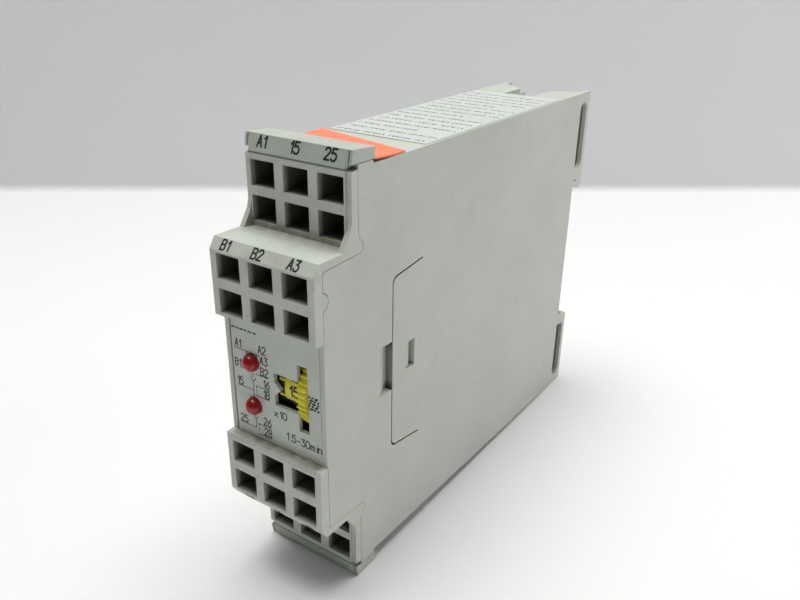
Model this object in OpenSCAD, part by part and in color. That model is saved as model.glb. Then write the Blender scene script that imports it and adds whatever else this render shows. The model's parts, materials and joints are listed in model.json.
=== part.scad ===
// DIN rail timer in a 22.5 mm housing: shells, spring-clamp terminals, dial, boards, relay and rail latch.
// X runs across the width, Y from the front to the rail, Z up. The origin is under the middle of the object.

/* [Housing] */
// Width across the two side faces
body_w = 22.5; // [22.5:0.5:24]
// Height of the housing without its marker caps
body_h = 79.5; // [79.5:0.5:82]
// Depth from the inner terminal faces to the rear face
body_d = 103.5; // [101:0.5:112]
// Thickness of the side walls
side_wall = 1.0; // [0.9:0.05:1]
// Thickness of the top, bottom and rear walls
end_wall = 1.2; // [1:0.1:1.4]
// Depth of the seam between the front and the rear shell
seam_y = 30.2; // [29:0.1:32]
// Height by which a marker cap stands above the housing
cap_rise = 2.1; // [1.9:0.1:2.4]

/* [Terminals] */
// Width of a wire or release entry
entry_w = 5.3; // [4.6:0.1:5.3]
// Height of a wire or release entry
entry_h = 4.5; // [4.2:0.1:4.5]
// Distance between neighbouring entry columns
entry_pitch = 7.25; // [7.1:0.05:7.25]
// How far the outer terminals are set back from the inner ones
tier_step = 9.2; // [9:0.1:9.5]

/* [Front plate] */
// How far the plate is set back from the inner terminals
plate_y = 1.9; // [1.6:0.1:2.1]
// Diameter of the indicator lamps
led_d = 3.3; // [3:0.1:3.4]
// Radius of the knurled rim of the dial
rim_r = 7.5; // [7:0.1:7.6]
// Radius of the numbered drum of the dial
drum_r = 5.8; // [5.4:0.1:5.8]
// Thickness of the front plate
plate_t = 0.8; // [0.6:0.1:0.8]

/* [Rail] */
// Height of the recess that takes the 35 mm rail
rail_gap = 35.3; // [35.2:0.1:35.6]
// Depth of the recess for the rail
rail_depth = 5.0; // [4.6:0.1:5.4]
// Travel of the latch when it is pulled
latch_travel = 3.0; // [2:0.5:3]

/* [Hidden] */

$fn = 48;
eps = 0.01;

// Frame: most shapes are drawn from the front plane of the inner terminals and from mid height
half_w = body_w / 2;
half_h = body_h / 2;
in_w = half_w - side_wall;
mid_z = half_h + cap_rise;
fit_gap = 0.1;

// Side outline shared by the terminal housings and the front shell
inner_top = 24.2;
ledge_z = 26.1;
ledge_y = 1.3;
rim_y = tier_step + 0.3;
scoop = [[rim_y - 2.4, ledge_z], [rim_y - 0.35, ledge_z + 3.1], [rim_y, ledge_z + 4.6]];
cheek_y = 2.0;
cheek_z = 24.5;
tail_y = 12.3;
tail_z = 25.0;
tail_r = 1.1;
rim_back_y = rim_y + 1.55;
corner_z = half_h - 1.3;
rim_drop = 0.85;
upper_end = 12.3;
lower_end = 11.6;

// Half-round tab of the upper terminal housing
tab_at = [1.7, 19.5];
tab_r = 1.55;
tab_gap = 0.15;

// Entries: the two rows of each tier, from mid height outwards
inner_rows = [12.95, 19.25];
outer_rows = [27.0, 33.1];
pocket_d = 7.5;
chamber_d = 5.6;
block_d = pocket_d + chamber_d + end_wall;
web_at = [(inner_rows[0] + inner_rows[1] + entry_h) / 2, (outer_rows[0] + outer_rows[1] + entry_h) / 2];

// Marker cap
cap_y = tier_step - 0.05;
cap_back = 15.6;
cap_foot = half_h - 0.85;
cap_lift = half_h - 0.2;

// The top and bottom faces rise from the caps to full height at the rear
top_drop = 0.9;
label_t = 0.12;
glue_t = 0.02;
strip_t = 0.35;
strip_lift = 0.45;
strip_bend_y = cap_back + 6;
strip_end_y = cap_back + 14;

// Shell joint
tongue_y = 21.0;
tongue_z = 17.5;
tongue_slope = 0.118;
tongue_r = 1.5;
tongue_gap = 0.3;
flange_t = 1.25;
flange_y = 36;
flange_mid_y = 24.6;
flange_low = 2.5;
flange_end_z = half_h - 14;
lip_depth = 4;
snap_y = [25.2, 28.1];
snap_z = [-2.6, 3.1];
pry_y = [16.5, tongue_y];
pry_z = [-4.8, 5.2];
pry_depth = 1.4;
pry_rim = 1.5;

// Rear end
rear_in = body_d - rail_depth;
rail_top = 15.8;
rail_bottom = rail_top - rail_gap;
seat_top = rail_top + 1.1;
lip_y = body_d - 0.9;
nose_y = rear_in + 1.5;
slot_y = [rear_in - 0.1, body_d - 1.4];
slot_z = [21.6, 37.4];
slot_corner_r = 1.5;
notch_w = 3.7;
notch_y = rear_in - 12;
notch_z = half_h - 5;
flare_w = in_w - 0.1;

// Rail latch
latch_w = 5.3;
latch_y = [rear_in + 0.4, rear_in + 3.4];
latch_foot = -(half_h - 1.2);
latch_nose = rail_bottom + 2.9;
latch_top = rail_bottom - end_wall - 0.4;
spring_z = [-33.8, -25.0];
spring_r = 1.05;
spring_wire = 0.35;
spring_turns = 6;
peg_w = 1.0;

// Boards
board_t = 1.6;
main_x = -in_w + 2.0;
main_top_x = main_x + board_t;
main_y = [28, rear_in - 5];
front_board_y = 17.0;
terminal_board_y = 25.2;
board_half_w = 8.5;
main_half_h = half_h - 3.4;
guide_z = main_half_h - 1;
guide_y = 60;
guide_t = 1;
terminal_board_z = [12.5, 36.3];
pin_t = 0.5;
pin_pitch = 2.54;
pin_end = 4;
terminal_pin_z = 16;

// Dial
dial_z = 0.25;
dial_y = plate_y - 0.7 + rim_r;
rim_x = [5.3, 7.3];
drum_x = [-1.6, 5.2];
window_x = [-0.2, 5.3];
window_half = 3.2;
rim_slot_half = 6.5;
shaft_r = 1.5;
knurls = 40;
knurl_h = 0.45;

// Lamps
led_x = -5.25;
led_y = led_d / 2 + 0.03;
led_flange = 0.35;
led_pitch = 1.27;
led_foot_y = plate_y + 3.4;
supply_led_z = 3.95;
output_led_z = -4.8;

// Relay, drawn as length, width and height above its board
relay_l = 29;
relay_w = 12.7;
relay_h = 15.7;
relay_at = [main_top_x, 42, 9];
coil_h = 9.2;
armature_at = [21.3, 14.0];
blade_x = 25.7;
blade_foot = 1.6;

// ---- helpers ----

module placed() {
    translate([0, -body_d / 2, mid_z]) children();
}

module slab(x, y, z) {
    translate([x[0], y[0], z[0]]) cube([x[1] - x[0], y[1] - y[0], z[1] - z[0]]);
}

// A flat outline drawn in depth and height, extruded across the width
module across(x) {
    translate([x[0], 0, 0]) rotate([90, 0, 90]) linear_extrude(x[1] - x[0]) children();
}

module round_across(x, y, z, r) {
    translate([x[0], y, z]) rotate([0, 90, 0]) cylinder(h = x[1] - x[0], r = r);
}

module round_along(x, y, z, r) {
    translate([x, y[0], z]) rotate([-90, 0, 0]) cylinder(h = y[1] - y[0], r = r);
}

module both_sides() {
    children();
    mirror([1, 0, 0]) children();
}

module both_ends() {
    children();
    mirror([0, 0, 1]) children();
}

module upside_down() {
    mirror([0, 0, 1]) children();
}

function top_at(y) = half_h - top_drop * (body_d - y) / (body_d - cap_back);

function tongue_edge(y) = tongue_z + (y - tongue_y) * tongue_slope;

// A layer that follows the upper face, between two depths under it
module under_top(x, y, depth) {
    across(x) polygon([
        [y[0], top_at(y[0]) - depth[1]], [y[1], top_at(y[1]) - depth[1]],
        [y[1], top_at(y[1]) - depth[0]], [y[0], top_at(y[0]) - depth[0]]
    ]);
}

// A block between the two sloping faces
module between_ends(x, y, depth) {
    across(x) polygon([
        [y[0], depth - top_at(y[0])], [y[1], depth - top_at(y[1])],
        [y[1], top_at(y[1]) - depth], [y[0], top_at(y[0]) - depth]
    ]);
}

function arc(cy, cz, r, a0, a1, steps) =
    [for (i = [0:steps]) let (a = a0 + (a1 - a0) * i / steps) [cy + r * cos(a), cz + r * sin(a)]];

// ---- outlines in depth and height, upper half ----

function front_contour() = concat(
    [[0, inner_top], [ledge_y, ledge_z]],
    scoop,
    [[rim_y, corner_z]]
);

// Boundary between a terminal housing's cheek and the side wall behind it, from the front upwards
function cheek_boundary(g) = concat(
    [[cheek_y + g, cheek_z - g]],
    arc(tail_y - tail_r, tail_z + tail_r, tail_r + g, -80, 75, 6),
    [[rim_back_y + g, tail_z + 3.2], [rim_back_y + g, half_h - rim_drop]]
);

module cheek_outline(end_z) {
    back = cheek_boundary(0);
    polygon(concat(
        [[0, end_z]], front_contour(),
        [for (i = [len(back) - 1:-1:0]) back[i]],
        [[cheek_y, end_z]]
    ));
}

module wall_outline(end_z) {
    polygon(concat(
        [[plate_y, 0], [plate_y, end_z - fit_gap], [cheek_y + fit_gap, end_z - fit_gap]],
        cheek_boundary(fit_gap),
        [[rim_back_y + fit_gap, cap_lift - fit_gap], [cap_back - 0.7, cap_lift - fit_gap]],
        [[cap_back - 0.3, top_at(cap_back)], [seam_y, top_at(seam_y)], [seam_y, 0]]
    ));
}

// ---- housing ----

module tongue_outline(grow) {
    end_y = seam_y + 2;
    polygon(concat(
        [[end_y, tongue_edge(end_y) + grow]],
        arc(tongue_y - grow + tongue_r, tongue_z + grow - tongue_r, tongue_r, 95, 180, 6),
        arc(tongue_y - grow + tongue_r, -tongue_z - grow + tongue_r, tongue_r, 180, 265, 6),
        [[end_y, -tongue_edge(end_y) - grow]]
    ));
}

module end_ramp() {
    y = [notch_y - end_wall, rear_in];
    across([-notch_w - end_wall, notch_w + end_wall]) polygon([
        [y[0], notch_z - end_wall], [y[1], notch_z - end_wall], [y[1], top_at(y[1])], [y[0], top_at(y[0])]
    ]);
}

module end_notch() {
    across([-notch_w, notch_w]) polygon([
        [notch_y, half_h + eps], [rear_in + eps, notch_z], [rear_in + eps, half_h + eps]
    ]);
    translate([0, 0, half_h - end_wall - eps]) linear_extrude(end_wall + 1) polygon([
        [-notch_w, rear_in - 3], [-flare_w, body_d - 1.6], [-flare_w, body_d + 1],
        [flare_w, body_d + 1], [flare_w, body_d - 1.6], [notch_w, rear_in - 3]
    ]);
    translate([0, body_d + eps, 0]) rotate([90, 0, 0]) linear_extrude(rail_depth) polygon([
        [-notch_w, notch_z], [notch_w, notch_z], [flare_w, half_h + eps], [-flare_w, half_h + eps]
    ]);
}

module side_dimple() {
    round_across([half_w - 0.3, half_w + 1], rear_in + 1, 18.4, 0.35);
}

module side_slot() {
    r = (slot_y[1] - slot_y[0]) / 2;
    across([in_w - eps, half_w + 1]) polygon(concat(
        [[slot_y[0], slot_z[0]]],
        arc(slot_y[1] - slot_corner_r, slot_z[0] + slot_corner_r, slot_corner_r, -90, 0, 6),
        arc(slot_y[0] + r, slot_z[1] - r, r, 0, 180, 16)
    ));
}

module rear_housing() {
    color("#a9ada3") placed() {
        difference() {
            union() {
                difference() {
                    between_ends([-half_w, half_w], [seam_y, body_d], 0);
                    between_ends([-in_w, in_w], [seam_y - 1, rear_in - end_wall], end_wall);
                    slab([-in_w, in_w], [rear_in, body_d - end_wall], [seat_top + end_wall, half_h - end_wall]);
                    slab([-in_w, in_w], [rear_in, body_d - end_wall], [end_wall - half_h, rail_bottom - end_wall]);
                }
                both_ends() end_ramp();
                both_sides() across([in_w, half_w]) tongue_outline(0);
                both_ends() board_guide();
                spring_peg();
            }
            slab([-half_w - 1, half_w + 1], [rear_in, body_d + 1], [rail_bottom, rail_top]);
            across([-half_w - 1, half_w + 1]) polygon([
                [rear_in, rail_top - eps], [rear_in, seat_top], [lip_y, rail_top],
                [body_d + eps, rail_top + 0.9], [body_d + eps, rail_top - eps]
            ]);
            both_ends() end_notch();
            both_ends() both_sides() side_slot();
            both_sides() side_dimple();
            both_sides() slab([in_w - 1, half_w + 1], snap_y, snap_z);
            latch_opening();
        }
    }
}

module board_guide() {
    y = [guide_y, rear_in - end_wall];
    z = [guide_z, half_h - end_wall];
    slab([main_x - fit_gap - guide_t, main_x - fit_gap], y, z);
    slab([main_top_x + fit_gap, main_top_x + fit_gap + guide_t], y, z);
}

module spring_peg() {
    slab([-peg_w, peg_w], [rear_in - eps, rear_in + 3.2], [spring_z[0] - 1, spring_z[0]]);
}

module latch_opening() {
    slab([-latch_w - 0.3, latch_w + 0.3], [nose_y - 0.4, body_d + 1], [rail_bottom - end_wall - 0.1, rail_bottom + eps]);
    slab([-latch_w - 0.3, latch_w + 0.3], [body_d - end_wall - eps, body_d + 1],
        [latch_top - 1.9 - latch_travel, rail_bottom + eps]);
}

module front_housing() {
    color("#a6aaa1") placed() {
        difference() {
            union() {
                both_sides() across([in_w, half_w]) wall_outline(upper_end);
                both_sides() upside_down() across([in_w, half_w]) wall_outline(lower_end);
                both_ends() under_top([-half_w, half_w], [cap_back + 0.2, seam_y], [0, end_wall]);
                both_sides() flange();
                both_ends() under_top([-in_w + fit_gap, in_w - fit_gap], [seam_y - lip_depth, flange_y],
                    [end_wall + fit_gap, end_wall + flange_t]);
                both_sides() slab([in_w - 1, in_w + eps], [plate_y + plate_t, plate_y + 2.6],
                    [0.4 - lower_end, upper_end - 0.4]);
            }
            both_sides() across([in_w - fit_gap, half_w + 1]) tongue_outline(tongue_gap);
            both_sides() pry_recess();
            both_sides() round_across([in_w - eps, half_w + 1], tab_at[0], tab_at[1], tab_r + tab_gap);
        }
        both_sides() snap_hook();
    }
}

module flange() {
    root = [in_w - flange_t, in_w + eps];
    free = [in_w - flange_t, in_w - fit_gap];
    front_y = tongue_y - flange_low;
    ceiling = half_h - top_drop - end_wall;
    slab(root, [front_y, tongue_y - tongue_gap], [-flange_end_z, flange_end_z]);
    slab(free, [front_y, flange_y], [-flange_end_z, flange_end_z]);
    both_ends() slab(root, [flange_mid_y, seam_y - fit_gap], [tongue_z + 2, ceiling + 0.5]);
    both_ends() slab(free, [flange_mid_y, flange_y], [tongue_z + 2, ceiling - fit_gap]);
    slab(root, [pry_y[0] - pry_rim, front_y + fit_gap], [pry_z[0] - pry_rim, pry_z[1] + pry_rim]);
}

module pry_recess() {
    translate([0, 0, pry_z[0]]) linear_extrude(pry_z[1] - pry_z[0]) polygon([
        [half_w + eps, pry_y[0]], [half_w - pry_depth, pry_y[1] - 1],
        [half_w - pry_depth, pry_y[1] + eps], [half_w + eps, pry_y[1] + eps]
    ]);
}

module snap_hook() {
    translate([0, 0, snap_z[0] + 0.2]) linear_extrude(snap_z[1] - snap_z[0] - 0.4) polygon([
        [in_w - fit_gap - eps, snap_y[0] + 0.2], [half_w - 0.35, snap_y[0] + 0.4],
        [half_w - 0.35, snap_y[0] + 1.2], [in_w - fit_gap - eps, snap_y[1] - 0.2]
    ]);
}

// One tier's pockets: two rows of three entries, then a chamber behind each pair
module tier_pockets(face_y, rows) {
    for (c = [-1:1], row = rows) {
        x = c * entry_pitch;
        slab([x - entry_w / 2, x + entry_w / 2], [face_y - 1, face_y + pocket_d + eps], [row, row + entry_h]);
    }
    for (c = [-1:1]) {
        x = c * entry_pitch;
        slab([x - entry_w / 2, x + entry_w / 2], [face_y + pocket_d, face_y + pocket_d + chamber_d],
            [rows[0], rows[1] + entry_h]);
        slab([x - 2.1, x + 2.1], [face_y + pocket_d, face_y + block_d + 1],
            [(rows[0] + rows[1] + entry_h) / 2 - 0.55, (rows[0] + rows[1] + entry_h) / 2 + 0.55]);
    }
}

module terminal_body(end_z) {
    difference() {
        union() {
            both_sides() across([in_w - eps, half_w]) cheek_outline(end_z);
            across([-in_w, in_w]) polygon([
                [0, end_z], [0, inner_top], [ledge_y, ledge_z], [tier_step + 2, ledge_z],
                [tier_step + 2, ledge_z + 0.5], [block_d, ledge_z + 0.5], [block_d, end_z]
            ]);
            slab([-in_w, in_w], [tier_step, cap_back], [ledge_z - eps, cap_foot]);
            slab([-in_w, in_w], [cap_back - eps, tier_step + block_d],
                [ledge_z - eps, half_h - top_drop - end_wall - fit_gap]);
        }
        tier_pockets(0, inner_rows);
        tier_pockets(tier_step, outer_rows);
        both_sides() slab([in_w - 0.05, in_w + 0.15], [tier_step - 1, tier_step + 0.25], [ledge_z + 2.6, cap_foot + 1]);
    }
}

module upper_terminal_housing() {
    color("#a7aca1") placed() {
        terminal_body(upper_end);
        both_sides() round_across([in_w, half_w], tab_at[0], tab_at[1], tab_r);
    }
}

module lower_terminal_housing() {
    color("#a7aca1") placed() upside_down() terminal_body(lower_end);
}

module marker_cap() {
    top = half_h + cap_rise;
    difference() {
        union() {
            across([fit_gap - in_w, in_w - fit_gap]) polygon([
                [cap_y, cap_foot], [cap_y + 0.8, top], [cap_back, top - 0.35], [cap_back, cap_foot]
            ]);
            both_sides() across([in_w - fit_gap - eps, half_w]) polygon([
                [cap_y + 0.35, cap_lift], [cap_y + 0.8, top], [cap_back, top - 0.35], [cap_back, cap_lift]
            ]);
        }
        both_sides() slab([in_w + 0.25, in_w + 0.5], [cap_y - 1, cap_y + 1.3], [cap_lift - 1, top - 0.2]);
    }
}

module upper_marker_cap() {
    color("#b3b8ad") placed() marker_cap();
}

module lower_marker_cap() {
    color("#b3b8ad") placed() upside_down() marker_cap();
}

module orange_strip() {
    near = cap_back + 0.1;
    w = half_w - 0.15;
    color("#ff8c69") placed() intersection() {
        translate([0, 0, glue_t]) across([-w, w]) polygon([
            [near, top_at(near) + strip_lift], [strip_bend_y, top_at(strip_bend_y)],
            [strip_end_y, top_at(strip_end_y)], [strip_end_y, top_at(strip_end_y) + strip_t],
            [strip_bend_y, top_at(strip_bend_y) + strip_t], [near, top_at(near) + strip_lift + strip_t]
        ]);
        linear_extrude(half_h + cap_rise) polygon([
            [-w, near - 1], [w, near - 1], [w, cap_back + 8.6], [-w, cap_back + 13.6]
        ]);
    }
}

module rating_label() {
    color("#dfe2e0") placed()
        under_top([-half_w + 0.5, half_w - 0.5], [seam_y + 0.6, notch_y - 0.6], [-label_t - glue_t, -glue_t]);
}

module front_plate() {
    color("#b6bab2") placed() difference() {
        slab([0.35 - in_w, in_w - fit_gap], [plate_y, plate_y + plate_t], [fit_gap - lower_end, upper_end - fit_gap]);
        slab(window_x, [plate_y - 1, plate_y + 2], [dial_z - window_half, dial_z + window_half]);
        slab([window_x[1] - 0.1, rim_x[1] + 0.15], [plate_y - 1, plate_y + 2],
            [dial_z - rim_slot_half, dial_z + rim_slot_half]);
        for (z = [supply_led_z, output_led_z])
            round_along(led_x, [plate_y - 1, plate_y + 2], z, led_d / 2 + 0.05);
    }
    color("#b6bab2") placed() translate([window_x[0] - eps, plate_y + plate_t, dial_z]) rotate([90, 0, 0])
        linear_extrude(plate_t) polygon([[0, -1.2], [1.4, 0.1], [0, 1.4]]);
}

// ---- rail latch ----

module rail_latch() {
    color("#8f938c") placed() difference() {
        union() {
            slab([-latch_w, latch_w], latch_y, [latch_foot + 6, latch_top]);
            slab([-notch_w + 0.3, notch_w - 0.3], latch_y, [latch_foot, latch_foot + 6 + eps]);
            across([-latch_w, latch_w]) polygon([
                [nose_y - 0.2, latch_top - 1], [nose_y - 0.2, latch_nose - 0.1], [nose_y + 0.3, latch_nose],
                [body_d - 0.2, rail_bottom + 0.1], [body_d - 0.2, latch_top - 0.2], [latch_y[1], latch_top - 1.6]
            ]);
        }
        slab([-spring_r - 0.7, spring_r + 0.7], [latch_y[0] - 1, latch_y[1] + 1], [spring_z[0] - 1.7, spring_z[1]]);
        slab([-1.8, 1.8], [latch_y[0] - 1, latch_y[1] + 1], [latch_foot + 1.1, latch_foot + 2.7]);
    }
}

function ring_points(c, r, sides) = [for (k = [0:sides - 1]) [r * cos(360 * k / sides), r * sin(360 * k / sides)]];

// Helical coil as one swept tube
module coil(r, wire, turns, height, sides = 8, per_turn = 20) {
    n = turns * per_turn;
    rise = height - 2 * wire;
    pts = [for (i = [0:n], k = [0:sides - 1])
        let (a = 360 * i / per_turn, p = 360 * k / sides, q = r + wire * cos(p))
        [q * cos(a), q * sin(a), wire + rise * i / n + wire * sin(p)]];
    skin = [for (i = [0:n - 1], k = [0:sides - 1])
        let (j = (k + 1) % sides)
        [i * sides + k, i * sides + j, (i + 1) * sides + j, (i + 1) * sides + k]];
    polyhedron(points = pts, faces = concat(
        skin,
        [[for (k = [sides - 1:-1:0]) k]],
        [[for (k = [0:sides - 1]) n * sides + k]]
    ), convexity = 10);
}

module rail_latch_spring() {
    color("silver") placed()
        translate([0, (latch_y[0] + latch_y[1]) / 2, spring_z[0]])
            coil(spring_r, spring_wire / 2, spring_turns, spring_z[1] - spring_z[0]);
}

// ---- boards ----

module main_board() {
    color("#2f6b3c") placed()
        slab([main_x, main_top_x], main_y, [-main_half_h, main_half_h]);
}

module front_board() {
    color("#2f6b3c") placed()
        slab([-board_half_w, board_half_w], [front_board_y, front_board_y + board_t], [-10.6, 10.6]);
}

module terminal_board() {
    difference() {
        slab([-board_half_w, board_half_w], [terminal_board_y, terminal_board_y + board_t],
            terminal_board_z);
        for (c = [-1:1], z = web_at)
            slab([c * entry_pitch - 0.8, c * entry_pitch + 0.8],
                [terminal_board_y - 1, terminal_board_y + board_t + 1], [z - 0.5, z + 0.5]);
    }
}

module upper_terminal_board() {
    color("#2f6b3c") placed() terminal_board();
}

module lower_terminal_board() {
    color("#2f6b3c") placed() upside_down() terminal_board();
}

// Rows of square pins from the three small boards to the main board
module board_links() {
    x = [main_top_x, main_top_x + pin_t];
    end_y = main_y[0] + pin_end;
    color("#c9b26a") placed() {
        for (i = [-3:3])
            slab(x, [front_board_y + board_t, end_y], [pin_pitch * i - pin_t / 2, pin_pitch * i + pin_t / 2]);
        both_ends() for (i = [0:5]) {
            z = terminal_pin_z + pin_pitch * i;
            slab(x, [terminal_board_y + board_t, end_y], [z - pin_t / 2, z + pin_t / 2]);
        }
    }
}

// ---- dial and lamps ----

module knurled(r, n, h) {
    polygon([for (i = [0:4 * n - 1])
        let (q = (i % 4 < 2) ? r : r - h) [q * cos(90 * i / n), q * sin(90 * i / n)]]);
}

module dial_wheel() {
    color("#e8e02a") placed() translate([0, dial_y, dial_z]) difference() {
        union() {
            across(rim_x) knurled(rim_r, knurls, knurl_h);
            rotate([0, 90, 0]) translate([0, 0, drum_x[0]]) cylinder(h = rim_x[0] - drum_x[0] + eps, r = drum_r);
        }
        rotate([0, 90, 0]) translate([0, 0, drum_x[0] - 1]) cylinder(h = 5.5, r = drum_r - 1.2);
        rotate([0, 90, 0]) translate([0, 0, drum_x[0] - 1]) cylinder(h = 20, r = shaft_r);
    }
}

module dial_shaft() {
    color("#d8d8d0") placed() {
        round_across([drum_x[0] - 1.6, rim_x[1]], dial_y, dial_z, shaft_r);
        round_across([drum_x[0] - 2.4, drum_x[0] - 1.6], dial_y, dial_z, 2.6);
    }
}

module dial_potentiometer() {
    x = [drum_x[0] - 5.2, drum_x[0] - 0.4];
    color("#2b3a55") placed() {
        difference() {
            slab(x, [dial_y - 3.2, dial_y + 3.4], [dial_z - 3.2, dial_z + 3.2]);
            round_across([x[0] + 2, x[1] - 0.6], dial_y, dial_z, 2.9);
            round_across([x[0] + 2, x[1] + 1], dial_y, dial_z, shaft_r + 0.05);
        }
        for (i = [-1:1])
            slab([x[0] + 1.5, x[0] + 2], [dial_y + 3.4, front_board_y], [dial_z + 2 * i - 0.3, dial_z + 2 * i + 0.3]);
    }
}

module led(z) {
    placed() {
        round_along(led_x, [led_y, led_foot_y], z, led_d / 2);
        translate([led_x, led_y, z]) intersection() {
            sphere(r = led_d / 2);
            translate([-led_d, -led_d, -led_d]) cube([2 * led_d, led_d, 2 * led_d]);
        }
        round_along(led_x, [led_foot_y - 1, led_foot_y], z, led_d / 2 + led_flange);
        for (s = [-1, 1]) {
            x = led_x + s * led_pitch;
            slab([x - pin_t / 2, x + pin_t / 2], [led_foot_y - eps, front_board_y], [z - pin_t / 2, z + pin_t / 2]);
        }
    }
}

module supply_led() {
    color("#b01010") led(supply_led_z);
}

module output_led() {
    color("#b01010") led(output_led_z);
}

// ---- terminals ----

// A current bar with the fixed root of its clamp spring, drawn from the centre of its web
module current_bar(face_y) {
    slab([-1.5, 1.5], [face_y + pocket_d + 0.3, face_y + block_d - 3], [-0.4, 0.4]);
    slab([-2, 2], [face_y + block_d - 3 - eps, face_y + block_d + 0.3], [-0.4, 0.4]);
    slab([-0.6, 0.6], [face_y + block_d, terminal_board_y + board_t + 1.2], [-0.4, 0.4]);
    slab([-2, 2], [face_y + pocket_d + chamber_d - 0.75, face_y + pocket_d + chamber_d - 0.4], [-eps, 3.9]);
}

module bar_group(face_y, z) {
    color("#c8c2b0") for (c = [-1:1])
        translate([c * entry_pitch, 0, z]) current_bar(face_y);
}

// The moving cage of a clamp: a top leg and a hanging leg with a window for bar and wire
module clamp_cage(face_y) {
    back = face_y + pocket_d + chamber_d - 0.9;
    front = face_y + pocket_d + 0.6;
    t = 0.35;
    difference() {
        union() {
            slab([-2.2, 2.2], [front + 1, back], [3.6, 3.6 + t]);
            across([-2.2, 2.2]) difference() {
                translate([front + 1, 3.6 + t - 1]) circle(r = 1);
                translate([front + 1, 3.6 + t - 1]) circle(r = 1 - t);
                translate([front + 1, -10]) square([5, 20]);
                translate([front - 1, -8]) square([4, 8 + 3.6 + t - 1]);
            }
            slab([-2.2, 2.2], [front, front + t], [-3.2, 3.6 + t - 1 + eps]);
        }
        slab([-1.7, 1.7], [front - 1, front + 1], [-0.55, 1.9]);
    }
}

module upper_clamp(face_y, z, c) {
    color("#b9bcbe") placed() translate([c * entry_pitch, 0, z]) clamp_cage(face_y);
}

module lower_clamp(face_y, z, c) {
    color("#b9bcbe") placed() upside_down() translate([c * entry_pitch, 0, z]) clamp_cage(face_y);
}

module bars_upper_outer() {
    placed() bar_group(tier_step, web_at[1]);
}

module bars_upper_inner() {
    placed() bar_group(0, web_at[0]);
}

module bars_lower_inner() {
    placed() upside_down() bar_group(0, web_at[0]);
}

module bars_lower_outer() {
    placed() upside_down() bar_group(tier_step, web_at[1]);
}

// ---- relay, drawn as length, width and height and then stood on the main board ----

module on_board(at) {
    placed() translate(at) rotate([90, 0, 90]) children();
}

module relay_case() {
    w = relay_w / 2;
    t = 0.6;
    color("#e8e6dc") on_board(relay_at) difference() {
        slab([0, relay_l], [-w, w], [0.3, relay_h]);
        slab([t, relay_l - t], [t - w, w - t], [0, relay_h - t]);
    }
}

module relay_base() {
    w = relay_w / 2 - 0.7;
    color("#2b2b2b") on_board(relay_at) slab([0.7, relay_l - 0.7], [-w, w], [0.3, 1.5]);
}

module relay_bobbin() {
    color("#e5dcc0") on_board(relay_at) difference() {
        union() {
            for (x = [2.6, 18.4])
                slab([x, x + 1], [-4.4, 4.4], [coil_h - 4.3, coil_h + 4.3]);
            translate([3, 0, coil_h]) rotate([0, 90, 0]) cylinder(h = 16, r = 2.4);
            slab([3.0, 19.0], [-3, -1.5], [1.5, coil_h - 4.2]);
        }
        translate([0, 0, coil_h]) rotate([0, 90, 0]) cylinder(h = 25, r = 1.7);
    }
}

module relay_winding() {
    color("#b5652a") on_board(relay_at) translate([3.7, 0, coil_h]) rotate([0, 90, 0]) difference() {
        cylinder(h = 14.6, r = 4.0);
        translate([0, 0, -1]) cylinder(h = 20, r = 2.45);
    }
}

module relay_core() {
    color("#9aa0a4") on_board(relay_at) translate([2.1, 0, coil_h]) rotate([0, 90, 0]) union() {
        cylinder(h = 17.6, r = 1.65);
        translate([0, 0, 17.5]) cylinder(h = 1.1, r = 3.2);
    }
}

module relay_yoke() {
    color("#9aa0a4") on_board(relay_at) {
        slab([0.9, 2.05], [-4, 4], [coil_h - 4, 14.9]);
        slab([0.9, armature_at[0] - 0.4], [-4, 4], [13.9, 14.9]);
    }
}

module relay_armature() {
    color("#8d9296") on_board(relay_at)
        slab([armature_at[0], armature_at[0] + 0.9], [-4, 4], [6.4, armature_at[1] + 0.7]);
}

module relay_card() {
    x = armature_at[0] + 1.1;
    color("#f0ead0") on_board(relay_at) {
        slab([x, blade_x - 0.6], [-1.2, 1.2], [7.8, 9.0]);
        slab([blade_x - 0.65, blade_x - 0.2], [-4.4, 4.4], [7.8, 9.0]);
    }
}

module relay_blades() {
    color("#c98f4a") on_board(relay_at) for (s = [-1, 1]) {
        slab([blade_x, blade_x + 0.25], [s * 3.2 - 1.1, s * 3.2 + 1.1], [blade_foot, 13.2]);
        translate([blade_x - 0.2, s * 3.2, 12]) rotate([0, 90, 0]) cylinder(h = 0.65, r = 0.9);
    }
}

module fixed_contact(x, side) {
    slab([x, x + 0.3], [side * 3.2 - 1.1, side * 3.2 + 1.1], [1.5, 13.2]);
}

module relay_fixed_contacts() {
    color("#c9b26a") on_board(relay_at) for (s = [-1, 1]) {
        fixed_contact(blade_x - 1.7, s);
        fixed_contact(blade_x + 1.05, s);
        translate([blade_x - 1.45, s * 3.2, 12]) rotate([0, 90, 0]) cylinder(h = 0.62, r = 0.9);
        translate([blade_x + 0.55, s * 3.2, 12]) rotate([0, 90, 0]) cylinder(h = 0.6, r = 0.9);
    }
}

// ---- board components ----

module dropper_capacitor() {
    color("#c9a227") on_board([main_top_x, 42, -10]) {
        slab([0, 26], [-5, 5], [0.4, 15]);
        for (x = [1.8, 24.2])
            slab([x - 0.4, x + 0.4], [-0.4, 0.4], [0, 0.5]);
    }
}

module smoothing_capacitor() {
    color("#2a2f6a") on_board([main_top_x, 80, 24]) {
        translate([0, 0, 0.5]) cylinder(h = 13, d = 10);
        translate([0, 0, 0.2]) cylinder(h = 0.4, d = 9);
    }
}

module bridge_rectifier() {
    color("#202020") on_board([main_top_x, 76, -2]) {
        slab([0, 8], [-3, 3], [1, 5]);
        for (x = [0.8, 7.2], y = [-2, 2])
            slab([x - 0.3, x + 0.3], [y - 0.3, y + 0.3], [0, 1.1]);
    }
}

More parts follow.
